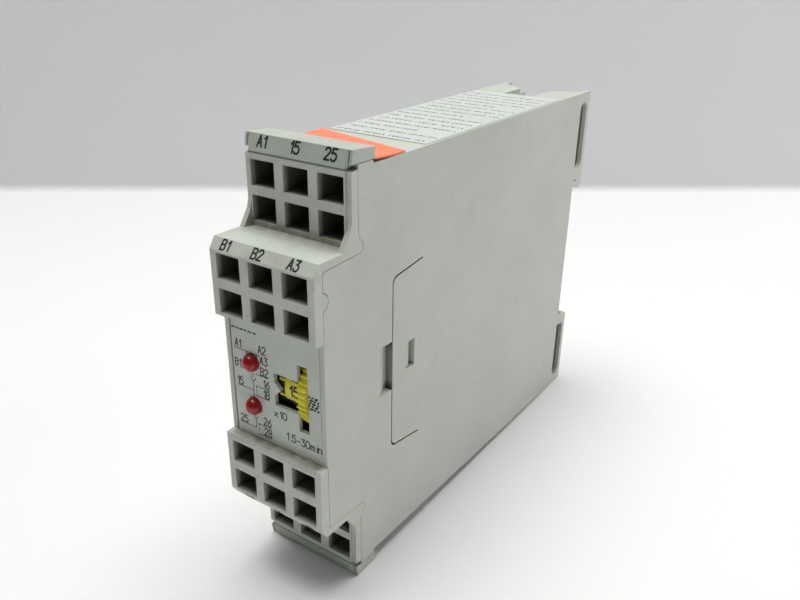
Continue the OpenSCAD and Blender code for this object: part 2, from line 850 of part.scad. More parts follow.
module varistor() {
    color("#2a5f9e") on_board([main_top_x, 80, 8]) {
        translate([0, 1.5, 6.5]) rotate([90, 0, 0]) cylinder(h = 3, d = 10);
        for (s = [-1, 1])
            slab([s * 2.5 - 0.3, s * 2.5 + 0.3], [-0.3, 0.3], [0, 3]);
    }
}

module timer_chip() {
    color("#202020") on_board([main_top_x, 36, -28]) {
        slab([0, 19.5], [-3.2, 3.2], [1, 4.2]);
        for (i = [0:7], s = [-1, 1])
            slab([0.6 + 2.54 * i, 1.2 + 2.54 * i], [s * 3.5 - 0.32, s * 3.5 + 0.32], [0, 2.6]);
    }
}

module axial(x, y, l, d) {
    translate([x - l / 2, y, 2]) rotate([0, 90, 0]) cylinder(h = l, d = d);
    for (s = [-1, 1]) {
        translate([x + s * (l / 2 + 0.8) - 0.8, y, 2]) rotate([0, 90, 0]) cylinder(h = 1.6, d = 0.6);
        translate([x + s * (l / 2 + 1.5), y, 0]) cylinder(h = 2.3, d = 0.6);
    }
}

module resistors() {
    color("#c7ab7c") on_board([main_top_x, 66, -22]) for (i = [0:4])
        axial(0, -3 * i, 6, 2.4);
}

module diodes() {
    color("#303030") on_board([main_top_x, 82, -24]) for (i = [0:3])
        axial(0, -3 * i, 4, 1.9);
}

module ceramic_capacitors() {
    color("#c77f32") on_board([main_top_x, 62, 32]) for (i = [0:2]) {
        translate([5 * i, 1, 3.4]) rotate([90, 0, 0]) cylinder(h = 2, d = 4);
        for (s = [-1, 1])
            slab([5 * i + s * 1.2 - 0.25, 5 * i + s * 1.2 + 0.25], [-0.25, 0.25], [0, 2.2]);
    }
}

rear_housing();
front_housing();
upper_terminal_housing();
lower_terminal_housing();
upper_marker_cap();
lower_marker_cap();
front_plate();
orange_strip();
rating_label();
rail_latch();
rail_latch_spring();
main_board();
front_board();
upper_terminal_board();
lower_terminal_board();
board_links();
dial_potentiometer();
dial_wheel();
dial_shaft();
supply_led();
output_led();
bars_upper_outer();
bars_upper_inner();
bars_lower_inner();
bars_lower_outer();
upper_clamp(tier_step, web_at[1], -1);  // clamp_upper_outer_1
upper_clamp(tier_step, web_at[1], 0);  // clamp_upper_outer_2
upper_clamp(tier_step, web_at[1], 1);  // clamp_upper_outer_3
upper_clamp(0, web_at[0], -1);  // clamp_upper_inner_1
upper_clamp(0, web_at[0], 0);  // clamp_upper_inner_2
upper_clamp(0, web_at[0], 1);  // clamp_upper_inner_3
lower_clamp(0, web_at[0], -1);  // clamp_lower_inner_1
lower_clamp(0, web_at[0], 0);  // clamp_lower_inner_2
lower_clamp(0, web_at[0], 1);  // clamp_lower_inner_3
lower_clamp(tier_step, web_at[1], -1);  // clamp_lower_outer_1
lower_clamp(tier_step, web_at[1], 0);  // clamp_lower_outer_2
lower_clamp(tier_step, web_at[1], 1);  // clamp_lower_outer_3
relay_case();
relay_base();
relay_bobbin();
relay_winding();
relay_core();
relay_yoke();
relay_armature();
relay_card();
relay_blades();
relay_fixed_contacts();
dropper_capacitor();
smoothing_capacitor();
bridge_rectifier();
varistor();
timer_chip();
resistors();
diodes();
ceramic_capacitors();
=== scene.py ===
import math

import bmesh
import bpy
from mathutils import Matrix, Vector
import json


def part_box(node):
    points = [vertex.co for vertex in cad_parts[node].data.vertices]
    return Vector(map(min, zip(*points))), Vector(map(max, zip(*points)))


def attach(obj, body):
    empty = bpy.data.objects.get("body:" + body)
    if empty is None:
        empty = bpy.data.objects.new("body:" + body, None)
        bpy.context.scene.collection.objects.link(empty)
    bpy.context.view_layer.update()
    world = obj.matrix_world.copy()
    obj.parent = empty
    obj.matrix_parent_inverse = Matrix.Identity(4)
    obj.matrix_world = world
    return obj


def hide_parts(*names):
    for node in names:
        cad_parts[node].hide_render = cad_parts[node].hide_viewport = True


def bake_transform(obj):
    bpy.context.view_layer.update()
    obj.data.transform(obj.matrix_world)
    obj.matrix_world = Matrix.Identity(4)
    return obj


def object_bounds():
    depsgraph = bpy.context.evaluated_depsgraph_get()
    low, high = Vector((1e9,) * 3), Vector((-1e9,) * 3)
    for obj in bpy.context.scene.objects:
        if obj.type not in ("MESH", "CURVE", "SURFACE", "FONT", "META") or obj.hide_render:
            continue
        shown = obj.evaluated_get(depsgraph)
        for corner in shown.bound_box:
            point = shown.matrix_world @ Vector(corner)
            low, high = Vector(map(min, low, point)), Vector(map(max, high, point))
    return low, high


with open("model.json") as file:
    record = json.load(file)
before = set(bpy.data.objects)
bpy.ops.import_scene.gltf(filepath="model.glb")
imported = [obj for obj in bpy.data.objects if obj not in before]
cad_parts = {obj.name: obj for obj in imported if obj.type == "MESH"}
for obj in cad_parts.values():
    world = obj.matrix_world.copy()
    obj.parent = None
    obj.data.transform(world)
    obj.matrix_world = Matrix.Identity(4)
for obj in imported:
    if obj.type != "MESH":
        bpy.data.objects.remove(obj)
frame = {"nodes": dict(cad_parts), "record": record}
cad_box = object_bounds()
RECORD = frame["record"]
NODES = frame["nodes"]
MM = 0.001

# The housing's own places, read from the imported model: front plane of the inner terminals and mid height
FRONT_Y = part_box("upper_terminal_housing")[0].y
MID_Z = (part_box("rear_housing")[0].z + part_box("rear_housing")[1].z) / 2
PLATE_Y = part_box("front_plate")[0].y
DRUM_LOW, DRUM_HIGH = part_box("dial_wheel")
DRUM_AXIS = Vector((0, (DRUM_LOW.y + DRUM_HIGH.y) / 2, (DRUM_LOW.z + DRUM_HIGH.z) / 2))
DRUM_R = 5.8 * MM
INK_T = 0.012 * MM


def local(x, y, z):
    """Millimetres from the middle, the front plane and mid height, as a point in the row frame."""
    return Vector((x * MM, FRONT_Y + y * MM, MID_Z + z * MM))


# ---------------------------------------------------------------- materials

# Noise scales, in features per metre
CLOUDS, PATCHES, SMUDGES, RAGGED, SPECKS, GRAIN = 55, 230, 420, 520, 1500, 2600
# Bands of a noise's values: most of the surface, its peaks, and its sharp peaks
MOST, PEAKS, SHARP_PEAKS = (0.3, 0.7), (0.5, 0.78), (0.66, 0.74)
RAGGED_BAND, TARNISH_BAND, RUB_BAND, TRACK_BAND = (0.25, 0.6), (0.45, 0.75), (0.55, 0.8), (0.34, 0.38)
# Bump depths in metres
TEXTURE, FAINT_TEXTURE, TRACK_STEP, WINDING_STEP = 0.00003, 0.00001, 0.00004, 0.00006
SPECULAR = 0.45
SPECK_SHADE = 0.6

# Where dirt gathers and where shade is painted into the plastic's colour, in millimetres from the middle plane
# (X), behind the front plane (Y) and from mid height (Z). Each pair is where a change starts and where it ends.
CHEEK_X = (10.22, 10.3)
STEP_FOOT_Y, STEP_FOOT_Z, STEP_DIRT = (5.0, 9.4), (27.0, 28.2), (0, 0.7)
PLATE_FOOT_Y, PLATE_FOOT_Z, PLATE_DIRT = (0.1, 1.5), (12.35, 12.5), (0.25, 0.95)
TIER_Z, TIER_BACK = (26.3, 26.6), 9.2
# Painted shade that deepens inside the entries
ENTRY_Y, ENTRY_SHADE = (0.12, 1.4), 0.88
LEDGE_Z, LEDGE_MID, BAND_Z = (12.6, 12.7), 25.4, (1.3, 1.45)
# Painted shade above the rim, under the marker cap
RIM_Z, RIM_SHADE = (38.5, 38.7), 0.8
# Painted shade inside the hollow rail hooks
HOOK_FRONT_Y, HOOK_REAR_Y = (98.55, 98.7), (103.0, 103.2)
HOOK_LOW_Z, HOOK_HIGH_Z = (17.7, 17.9), (38.0, 38.3)
HOOK_X, HOOK_SHADE = (10.26, 10.32), 0.75
# Painted shade down in the seam round the tongue, half as strong near mid height
SEAM_FRONT_Y, SEAM_REAR_Y, SEAM_END_Y = (20.5, 20.6), (21.05, 21.15), (30.3, 30.4)
SEAM_LOW_Z, SEAM_HIGH_Z, SEAM_X = (16.0, 16.1), (19.1, 19.2), (11.08, 11.16)
PRY_Z, PRY_SHADE = (3.0, 5.3), 0.5


def new_material(name):
    m = bpy.data.materials.new(name)
    m.use_nodes = True
    nt = m.node_tree
    return m, nt, nt.nodes["Principled BSDF"]


def node(nt, kind, **inputs):
    n = nt.nodes.new(kind)
    for key, value in inputs.items():
        n.inputs[key.replace("_", " ")].default_value = value
    return n


def noise(nt, scale, detail=4.0, rough=0.55, stretch=None):
    """A 3-D noise over object coordinates, its scale in features per metre."""
    coord = nt.nodes.new("ShaderNodeTexCoord")
    n = node(nt, "ShaderNodeTexNoise", Scale=scale, Detail=detail, Roughness=rough)
    if stretch:
        mapping = nt.nodes.new("ShaderNodeMapping")
        mapping.inputs["Scale"].default_value = stretch
        nt.links.new(coord.outputs["Object"], mapping.inputs["Vector"])
        nt.links.new(mapping.outputs["Vector"], n.inputs["Vector"])
    else:
        nt.links.new(coord.outputs["Object"], n.inputs["Vector"])
    return n.outputs["Fac"]


def spread(nt, fac, ends, a, b):
    """fac between the two ends becomes a value between a and b."""
    n = nt.nodes.new("ShaderNodeMapRange")
    n.inputs["From Min"].default_value = ends[0]
    n.inputs["From Max"].default_value = ends[1]
    n.inputs["To Min"].default_value = a
    n.inputs["To Max"].default_value = b
    nt.links.new(fac, n.inputs["Value"])
    return n.outputs["Result"]


def ramp_mm(nt, fac, ends, a, b):
    """The same between two places given in millimetres."""
    return spread(nt, fac, (ends[0] * MM, ends[1] * MM), a, b)


def mixed(nt, fac, a, b):
    """Colour a where fac is 0 and b where it is 1; either may be a colour or a socket."""
    n = nt.nodes.new("ShaderNodeMix")
    n.data_type = "RGBA"
    nt.links.new(fac, n.inputs[0])
    for index, value in ((6, a), (7, b)):
        if isinstance(value, tuple):
            n.inputs[index].default_value = (*value, 1)
        else:
            nt.links.new(value, n.inputs[index])
    return n.outputs[2]


def math_node(nt, operation, a, b=None):
    """One sum over a socket; b may be a number or a socket."""
    n = nt.nodes.new("ShaderNodeMath")
    n.operation = operation
    nt.links.new(a, n.inputs[0])
    if isinstance(b, float):
        n.inputs[1].default_value = b
    elif b is not None:
        nt.links.new(b, n.inputs[1])
    return n.outputs[0]


def times(nt, a, b):
    return math_node(nt, "MULTIPLY", a, b)


def within(nt, fac, rise, fall):
    """1 where fac lies between two edges given in millimetres, and 0 outside them."""
    return times(nt, ramp_mm(nt, fac, rise, 0, 1), ramp_mm(nt, fac, fall, 1, 0))


def bump(nt, bsdf, fac, depth):
    n = node(nt, "ShaderNodeBump", Strength=1.0, Distance=depth)
    nt.links.new(fac, n.inputs["Height"])
    nt.links.new(n.outputs["Normal"], bsdf.inputs["Normal"])


def shade(c, k):
    return tuple(max(0.0, min(1.0, v * k)) for v in c)


def roughness(nt, bsdf, fac, low, high):
    nt.links.new(spread(nt, fac, MOST, low, high), bsdf.inputs["Roughness"])


def plastic_colour(nt, colour, mottle, tint=None, patches=0.0, specks=0.0):
    """Faint cloudiness in the colour, then dirt of another tint in patches and specks."""
    cloud = spread(nt, noise(nt, CLOUDS, 3), MOST, 0, 1)
    base = mixed(nt, cloud, shade(colour, 1 - mottle), shade(colour, 1 + mottle))
    if not tint:
        return base
    patch = spread(nt, noise(nt, PATCHES, 6, 0.65), PEAKS, 0, patches)
    speck = spread(nt, noise(nt, SPECKS, 3, 0.6), SHARP_PEAKS, 0, specks)
    return mixed(nt, speck, mixed(nt, patch, base, tint), shade(tint, SPECK_SHADE))


def plastic_finish(nt, bsdf, base, rough, grain=GRAIN, depth=TEXTURE):
    """Links the colour, and gives the fine texture and uneven gloss of a moulding."""
    nt.links.new(base, bsdf.inputs["Base Color"])
    roughness(nt, bsdf, noise(nt, SMUDGES), rough - 0.05, rough + 0.07)
    bsdf.inputs["Specular IOR Level"].default_value = SPECULAR
    bump(nt, bsdf, noise(nt, grain, 2, 0.6), depth)


def plastic(name, colour, rough, grain=GRAIN, depth=TEXTURE, mottle=0.05, grime=(None, 0.0)):
    """Moulded plastic; grime is the dirt's tint and how much there is."""
    m, nt, b = new_material(name)
    tint, amount = grime
    plastic_finish(nt, b, plastic_colour(nt, colour, mottle, tint, amount, amount), rough, grain, depth)
    return m


def metal(name, colour, rough, stretch=(1, 1, 1), scale=1800, depth=FAINT_TEXTURE, dull=0.25):
    m, nt, b = new_material(name)
    lines = noise(nt, scale, 3, 0.6, stretch)
    tarnish = spread(nt, noise(nt, 400, 5), TARNISH_BAND, 0, 1)
    nt.links.new(mixed(nt, tarnish, colour, shade(colour, 1 - dull)), b.inputs["Base Color"])
    roughness(nt, b, lines, rough - 0.08, rough + 0.1)
    b.inputs["Metallic"].default_value = 1.0
    bump(nt, b, lines, depth)
    return m


def glossy(name, colour, rough=0.12, coat=0.3, mottle=0.1, through=0.0):
    """Lacquer, sleeve or clear coloured plastic; through is how much light passes."""
    m, nt, b = new_material(name)
    cloud = spread(nt, noise(nt, 700, 3), MOST, 0, 1)
    nt.links.new(mixed(nt, cloud, shade(colour, 1 - mottle), shade(colour, 1 + mottle)), b.inputs["Base Color"])
    roughness(nt, b, noise(nt, 300, 3), rough, rough + 0.1)
    b.inputs["Coat Weight"].default_value = coat
    b.inputs["Transmission Weight"].default_value = through
    bump(nt, b, noise(nt, 900, 2), FAINT_TEXTURE)
    return m


def board_material(name, mask, copper):
    """Solder mask with copper tracks showing through as lighter bands."""
    m, nt, b = new_material(name)
    coord = nt.nodes.new("ShaderNodeTexCoord")
    cells = node(nt, "ShaderNodeTexVoronoi", Scale=330.0)
    cells.distance = "CHEBYCHEV"
    nt.links.new(coord.outputs["Object"], cells.inputs["Vector"])
    tracks = spread(nt, cells.outputs["Distance"], TRACK_BAND, 0, 1)
    nt.links.new(mixed(nt, tracks, copper, mask), b.inputs["Base Color"])
    roughness(nt, b, noise(nt, 900, 3), 0.28, 0.42)
    b.inputs["Coat Weight"].default_value = 0.2
    bump(nt, b, tracks, TRACK_STEP)
    return m


def label_material(name, ground, print_colour):
    """Satin label film; the print on it is separate geometry."""
    m, nt, b = new_material(name)
    cloud = spread(nt, noise(nt, 60), MOST, 0, 1)
    rub = spread(nt, noise(nt, 800, 5, 0.7, (1, 0.15, 1)), RUB_BAND, 0, 0.35)
    base = mixed(nt, cloud, shade(ground, 0.97), ground)
    nt.links.new(mixed(nt, rub, base, print_colour), b.inputs["Base Color"])
    roughness(nt, b, noise(nt, 500), 0.3, 0.42)
    bump(nt, b, noise(nt, 350, 3), TEXTURE)
    return m


def housing_places(nt):
    """Distance from the middle plane, depth behind the front plane and distance from mid height, as sockets."""
    coord = nt.nodes.new("ShaderNodeTexCoord")
    axes = nt.nodes.new("ShaderNodeSeparateXYZ")
    nt.links.new(coord.outputs["Object"], axes.inputs[0])
    width = math_node(nt, "ABSOLUTE", axes.outputs[0])
    depth = math_node(nt, "SUBTRACT", axes.outputs[1], FRONT_Y)
    height = math_node(nt, "ABSOLUTE", math_node(nt, "SUBTRACT", axes.outputs[2], MID_Z))
    return width, depth, height


def terminal_plastic(name, colour, rough, tint):
    """Housing plastic that is dirty at the foot of each step, with shade painted into its colour deep inside the
    entries and above the rim under the cap.
    """
    m, nt, b = new_material(name)
    base = plastic_colour(nt, colour, 0.05, tint, 0.3, 0.3)
    width, depth, height = housing_places(nt)
    between = ramp_mm(nt, width, CHEEK_X, 1, 0)
    ragged = spread(nt, noise(nt, RAGGED, 6, 0.7), RAGGED_BAND, 0, 1)
    step_foot = times(nt, ramp_mm(nt, depth, STEP_FOOT_Y, *STEP_DIRT), ramp_mm(nt, height, STEP_FOOT_Z, 1, 0))
    plate_foot = times(nt, ramp_mm(nt, depth, PLATE_FOOT_Y, *PLATE_DIRT), ramp_mm(nt, height, PLATE_FOOT_Z, 1, 0))
    dirt = times(nt, times(nt, between, ragged), math_node(nt, "MAXIMUM", step_foot, plate_foot))
    base = mixed(nt, dirt, base, tint)
    # Painted shade: the colour darkens with depth inside the entries of both tiers, sparing the ledge and the
    # print band
    tier = ramp_mm(nt, height, TIER_Z, 0, TIER_BACK * MM)
    inside = times(nt, ramp_mm(nt, math_node(nt, "SUBTRACT", depth, tier), ENTRY_Y, 0, ENTRY_SHADE), between)
    off_ledge = ramp_mm(nt, height, LEDGE_Z, 0, 1)
    from_band = math_node(nt, "ABSOLUTE", math_node(nt, "SUBTRACT", height, LEDGE_MID * MM))
    inside = times(nt, times(nt, inside, off_ledge), ramp_mm(nt, from_band, BAND_Z, 0, 1))
    # Painted shade above the rim, in the gap under the marker cap
    rim = ramp_mm(nt, height, RIM_Z, 0, RIM_SHADE)
    base = mixed(nt, math_node(nt, "MAXIMUM", inside, rim), base, shade(tint, 0.25))
    plastic_finish(nt, b, base, rough)
    return m


def housing_plastic(name, colour, rough, tint):
    """Housing plastic with shade painted into its colour inside the two hollow rail hooks and down in the seam
    round the tongue.
    """
    m, nt, b = new_material(name)
    base = plastic_colour(nt, colour, 0.045, tint, 0.1, 0.12)
    width, depth, height = housing_places(nt)
    # Painted shade inside the two hollow rail hooks
    hook = times(nt, within(nt, depth, HOOK_FRONT_Y, HOOK_REAR_Y), within(nt, height, HOOK_LOW_Z, HOOK_HIGH_Z))
    hook = times(nt, hook, ramp_mm(nt, width, HOOK_X, HOOK_SHADE, 0))
    base = mixed(nt, hook, base, shade(tint, 0.5))
    # Painted shade down in the seam round the tongue and its pry recess, half as strong near mid height
    front_line = within(nt, depth, SEAM_FRONT_Y, SEAM_REAR_Y)
    front_line = times(nt, front_line, ramp_mm(nt, height, PRY_Z, PRY_SHADE, 1))
    edge_line = within(nt, height, SEAM_LOW_Z, SEAM_HIGH_Z)
    edge_line = times(nt, edge_line, within(nt, depth, SEAM_FRONT_Y, SEAM_END_Y))
    seam = times(nt, ramp_mm(nt, width, SEAM_X, 1, 0), math_node(nt, "MAXIMUM", front_line, edge_line))
    plastic_finish(nt, b, mixed(nt, seam, base, shade(tint, 0.2)), rough)
    return m


GREY = (0.545, 0.575, 0.515)
# Tint of dirt; darkened, it is also the painted shade in the housings' entries, rim, hooks and seam
DIRT_AND_SHADE = (0.20, 0.20, 0.13)
DIAL_GRIME = (0.45, 0.38, 0.05)
M = {
    "housing": housing_plastic("housing_plastic", GREY, 0.5, DIRT_AND_SHADE),
    "terminal": terminal_plastic("terminal_plastic", GREY, 0.48, DIRT_AND_SHADE),
    "cap": plastic("cap_plastic", (0.475, 0.51, 0.45), 0.45, grime=(DIRT_AND_SHADE, 0.2)),
    "plate": plastic("plate_plastic", (0.565, 0.605, 0.545), 0.4, 5200, FAINT_TEXTURE, grime=(DIRT_AND_SHADE, 0.14)),
    "orange": plastic("signal_orange_plastic", (0.95, 0.235, 0.115), 0.42, mottle=0.04),
    "label": label_material("label_film", (0.62, 0.65, 0.625), (0.5, 0.52, 0.50)),
    "latch": plastic("latch_plastic", (0.36, 0.375, 0.34), 0.45, grime=(DIRT_AND_SHADE, 0.2)),
    "spring": metal("spring_steel", (0.66, 0.67, 0.68), 0.28),
    "board": board_material("circuit_board", (0.02, 0.12, 0.045), (0.05, 0.2, 0.07)),
    "tinned": metal("tinned_brass", (0.72, 0.67, 0.55), 0.36),
    "yellow": plastic("dial_yellow_plastic", (0.86, 0.79, 0.05), 0.42, 3000, 0.00002, grime=(DIAL_GRIME, 0.25)),
    "shaft": plastic("shaft_nylon", (0.75, 0.74, 0.68), 0.4),
    "potentiometer": plastic("potentiometer_plastic", (0.05, 0.09, 0.2), 0.4),
    "lamp": glossy("lamp_red_lens", (0.36, 0.002, 0.006), 0.2, 0.15, 0.12, 0.1),
    "relay": plastic("relay_plastic", (0.78, 0.75, 0.66), 0.4),
    "black": plastic("black_moulding", (0.025, 0.025, 0.027), 0.42),
    "bobbin": plastic("bobbin_nylon", (0.7, 0.63, 0.46), 0.45),
    "copper": metal("copper_wire", (0.72, 0.33, 0.14), 0.3, (60, 1, 1), 260, WINDING_STEP),
    "iron": metal("relay_iron", (0.5, 0.51, 0.52), 0.35),
    "box_yellow": glossy("capacitor_box_yellow", (0.65, 0.46, 0.06), 0.22),
    "can_blue": glossy("capacitor_sleeve_blue", (0.03, 0.05, 0.22), 0.2),
    "disc_blue": glossy("varistor_blue", (0.05, 0.16, 0.42), 0.25),
    "resistor": glossy("resistor_lacquer", (0.62, 0.46, 0.26), 0.25),
    "ceramic": glossy("ceramic_coating", (0.62, 0.28, 0.06), 0.3),
    "ink": plastic("black_ink", (0.018, 0.020, 0.018), 0.5, mottle=0.3, depth=FAINT_TEXTURE),
    "dial_ink": plastic("dial_black_ink", (0.022, 0.020, 0.016), 0.45, mottle=0.3, depth=FAINT_TEXTURE),
    "faint_ink": plastic("dial_faint_ink", (0.16, 0.15, 0.08), 0.5, depth=FAINT_TEXTURE),
    "label_ink": plastic("label_grey_ink", (0.06, 0.065, 0.062), 0.5, mottle=0.2, depth=FAINT_TEXTURE),
}

SLOT_LOOK = {
    "housing_grey": "housing", "cap_grey": "cap", "plate_grey": "plate", "signal_orange": "orange",
    "label_white": "label", "latch_grey": "latch", "spring_steel": "spring", "circuit_board": "board",
    "tinned_brass": "tinned", "dial_yellow": "yellow", "shaft_white": "shaft",
    "potentiometer_blue": "potentiometer", "lamp_red": "lamp", "relay_cream": "relay",
    "black_plastic": "black", "bobbin_cream": "bobbin", "copper_wire": "copper", "relay_iron": "iron",
    "capacitor_yellow": "box_yellow", "capacitor_blue": "can_blue", "varistor_blue": "disc_blue",
    "resistor_tan": "resistor", "ceramic_tan": "ceramic",
}
NODE_LOOK = {"upper_terminal_housing": "terminal", "lower_terminal_housing": "terminal"}
# Width of the rounding on each node's edges, in millimetres
BEVELLED = {
    "rear_housing": 0.13, "front_housing": 0.11, "upper_terminal_housing": 0.18, "lower_terminal_housing": 0.18,
    "upper_marker_cap": 0.25, "lower_marker_cap": 0.25, "front_plate": 0.1, "orange_strip": 0.08,
    "rail_latch": 0.15, "dial_wheel": 0.07, "relay_case": 0.2,
}
WELD_M, FLAT_DEGREES, EDGE_DEGREES = 0.000004, 1.0, 38


def dress(name, o):
    """Gives a CAD node its finish, and rounds its edges a little as moulding does."""
    slot_name = next(s["material_slot"] for s in RECORD["subparts"] if s["node"] == name)
    look = M[NODE_LOOK.get(name, SLOT_LOOK[slot_name])]
    o.data.materials.clear()
    o.data.materials.append(look)
    width = BEVELLED.get(name)
    if not width:
        return
    weld = o.modifiers.new("weld", "WELD")
    weld.merge_threshold = WELD_M
    flat = o.modifiers.new("flatten", "DECIMATE")
    flat.decimate_type = "DISSOLVE"
    flat.angle_limit = math.radians(FLAT_DEGREES)
    bevel = o.modifiers.new("edges", "BEVEL")
    bevel.width = width * MM
    bevel.segments = 2
    bevel.limit_method = "ANGLE"
    bevel.angle_limit = math.radians(EDGE_DEGREES)
    bevel.use_clamp_overlap = True
    bevel.harden_normals = False
    normals = o.modifiers.new("normals", "WEIGHTED_NORMAL")
    normals.keep_sharp = True


for node_name, node_object in NODES.items():
    dress(node_name, node_object)

# The latch spring stands on the housing's peg; its CAD node is copied into an object of its own and hidden
cad_spring = NODES["rail_latch_spring"]
spring = bpy.data.objects.new("latch_spring_coil", cad_spring.data.copy())
bpy.context.scene.collection.objects.link(spring)
spring.matrix_world = cad_spring.matrix_world.copy()
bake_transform(spring)
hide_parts("rail_latch_spring")

# ---------------------------------------------------------------- print

# Strokes of each character on a 4 by 6 grid
STROKES = {
    "0": [[(1, 0), (3, 0), (4, 1.2), (4, 4.8), (3, 6), (1, 6), (0, 4.8), (0, 1.2), (1, 0)]],
    "1": [[(0.8, 4.5), (2.4, 6), (2.4, 0)]],
    "2": [[(0, 4.7), (0.5, 5.6), (1.4, 6), (2.8, 6), (3.8, 5.2), (3.8, 4), (0, 0), (4, 0)]],
    "3": [[(0.2, 6), (3.8, 6), (1.8, 3.6), (3, 3.5), (4, 2.5), (4, 1.2), (3, 0), (1, 0), (0, 1)]],
    "4": [[(3, 0), (3, 6), (0, 1.8), (4, 1.8)]],
    "5": [[(3.8, 6), (0.5, 6), (0.2, 3.5), (1.4, 3.9), (2.8, 3.7), (4, 2.6), (4, 1.2), (3, 0), (1, 0),
           (0, 0.8)]],
    "6": [[(3.4, 6), (1.2, 4.2), (0, 2.2), (0, 1.1), (1, 0), (3, 0), (4, 1.1), (4, 2.3), (3, 3.4),
           (0.8, 3.4)]],
    "7": [[(0, 6), (4, 6), (1.4, 0)]],
    "8": [[(1.1, 3.2), (0.2, 4), (0.2, 5.2), (1.1, 6), (2.9, 6), (3.8, 5.2), (3.8, 4), (2.9, 3.2), (1.1, 3.2),
           (0, 2.3), (0, 0.9), (1, 0), (3, 0), (4, 0.9), (4, 2.3), (2.9, 3.2)]],
    "9": [[(0.6, 0), (2.8, 1.8), (4, 3.8), (4, 4.9), (3, 6), (1, 6), (0, 4.9), (0, 3.7), (1, 2.6),
           (3.2, 2.6)]],
    "A": [[(0, 0), (2, 6), (4, 0)], [(0.7, 2.1), (3.3, 2.1)]],
    "B": [[(0, 3.2), (0, 6), (2.7, 6), (3.7, 5.2), (3.7, 4), (2.7, 3.2), (0, 3.2), (0, 0), (2.9, 0), (4, 0.9),
           (4, 2.3), (2.7, 3.2)]],
    "x": [[(0, 0), (3.4, 3.9)], [(0, 3.9), (3.4, 0)]],
    ".": [[(1.6, 0), (1.6, 0.35)]],
    "-": [[(0.6, 2.4), (3.2, 2.4)]],
    "m": [[(0, 0), (0, 3.9)], [(0, 3), (1, 3.9), (2, 3.2), (2, 0)], [(2, 3), (3, 3.9), (4, 3.2), (4, 0)]],
    "i": [[(1.6, 0), (1.6, 3.9)], [(1.6, 5.1), (1.6, 5.4)]],
    "n": [[(0, 0), (0, 3.9)], [(0, 2.8), (1.2, 3.9), (2.6, 3.7), (3.2, 2.8), (3.2, 0)]],
}
GRID_H = 6
ADVANCE = {"1": 3.9, ".": 2.6, "i": 2.8, "-": 4.6, "m": 5.3, "n": 4.6}
USUAL_ADVANCE, LETTER_GAP = 5.4, 1.4
STROKE_END = 0.8


def text_lines(text, height, slant=0.0, narrow=0.8):
    """The strokes of a word, centred on the origin, in millimetres."""
    k = height / GRID_H
    pen, lines = 0.0, []
    for ch in text:
        for line in STROKES[ch]:
            lines.append([((pen + x) * k * narrow + y * k * slant, (y - GRID_H / 2) * k) for x, y in line])
        pen += ADVANCE.get(ch, USUAL_ADVANCE)
    width = (pen - LETTER_GAP) * k * narrow
    return [[(x - width / 2, y) for x, y in line] for line in lines]


def moved(lines, x, y):
    return [[(a + x, b + y) for a, b in line] for line in lines]


class Print:
    """Ink as thin raised strokes on a surface. place(u, v, h) gives the point h above the surface."""

    def __init__(self, place, step=None):
        self.bm = bmesh.new()
        self.place = place
        self.step = step

    def prism(self, outline):
        """A thin closed slab on the surface with this outline, counter-clockwise."""
        low = [self.bm.verts.new(self.place(u, v, -INK_T)) for u, v in outline]
        top = [self.bm.verts.new(self.place(u, v, INK_T)) for u, v in outline]
        n = len(outline)
        self.bm.faces.new(top)
        self.bm.faces.new(low[::-1])
        for i in range(n):
            j = (i + 1) % n
            self.bm.faces.new((low[i], low[j], top[j], top[i]))

    def parts(self, length):
        """How many short steps a length is laid in, so that it follows a curved surface."""
        return max(1, math.ceil(length / self.step)) if self.step else 1

    def stroke(self, line, width):
        w = width / 2
        for (x0, y0), (x1, y1) in zip(line, line[1:]):
            length = math.hypot(x1 - x0, y1 - y0)
            dx, dy = (x1 - x0) / length, (y1 - y0) / length
            parts = self.parts(length)
            for i in range(parts):
                a = length * i / parts - (w * STROKE_END if i == 0 else 0.0)
                b = length * (i + 1) / parts + (w * STROKE_END if i == parts - 1 else 0.0)
                p = (x0 + dx * a, y0 + dy * a)
                q = (x0 + dx * b, y0 + dy * b)
                self.prism([
                    (p[0] + dy * w, p[1] - dx * w), (q[0] + dy * w, q[1] - dx * w),
                    (q[0] - dy * w, q[1] + dx * w), (p[0] - dy * w, p[1] + dx * w),
                ])

    def strokes(self, lines, width):
        for line in lines:
            self.stroke(line, width)

    def word(self, text, x, y, height, width, slant=0.0, narrow=0.8):
        self.strokes(moved(text_lines(text, height, slant, narrow), x, y), width)

    def patch(self, u0, u1, v0, v1):
        """A rectangle of ink, in short steps along v so that it follows a drum."""
        parts = self.parts(v1 - v0)
        for i in range(parts):
            a, b = v0 + (v1 - v0) * i / parts, v0 + (v1 - v0) * (i + 1) / parts
            self.prism([(u0, a), (u1, a), (u1, b), (u0, b)])

    def piece(self, name, material, body):
        mesh = bpy.data.meshes.new(name)
        bmesh.ops.recalc_face_normals(self.bm, faces=self.bm.faces)
        self.bm.to_mesh(mesh)
        self.bm.free()
        o = bpy.data.objects.new(name, mesh)
        bpy.context.scene.collection.objects.link(o)
        mesh.materials.append(material)
        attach(o, body)


def on_plane(origin, right, up):
    """A flat place() with u along right and v along up, in millimetres."""
    right, up = Vector(right).normalized(), Vector(up).normalized()
    out = right.cross(up)
    return lambda u, v, h: origin + (right * u + up * v) * MM + out * h


def on_drum(u, v, h):
    """u along the drum's axis from the middle of the body, v round its front upwards, both in millimetres."""
    a = v * MM / DRUM_R
    r = DRUM_R + h
    return Vector((u * MM, DRUM_AXIS.y - r * math.cos(a), DRUM_AXIS.z + r * math.sin(a)))


def band_of_words(name, origin, up, words, rise, height, width):
    """One row of terminal numbers on a sloping band, each at its place across."""
    band = Print(on_plane(origin, (1, 0, 0), up))
    for word, x in words:
        band.word(word, x, rise, height, width, 0.12, 0.78)
    band.piece(name, M["ink"], "housing")


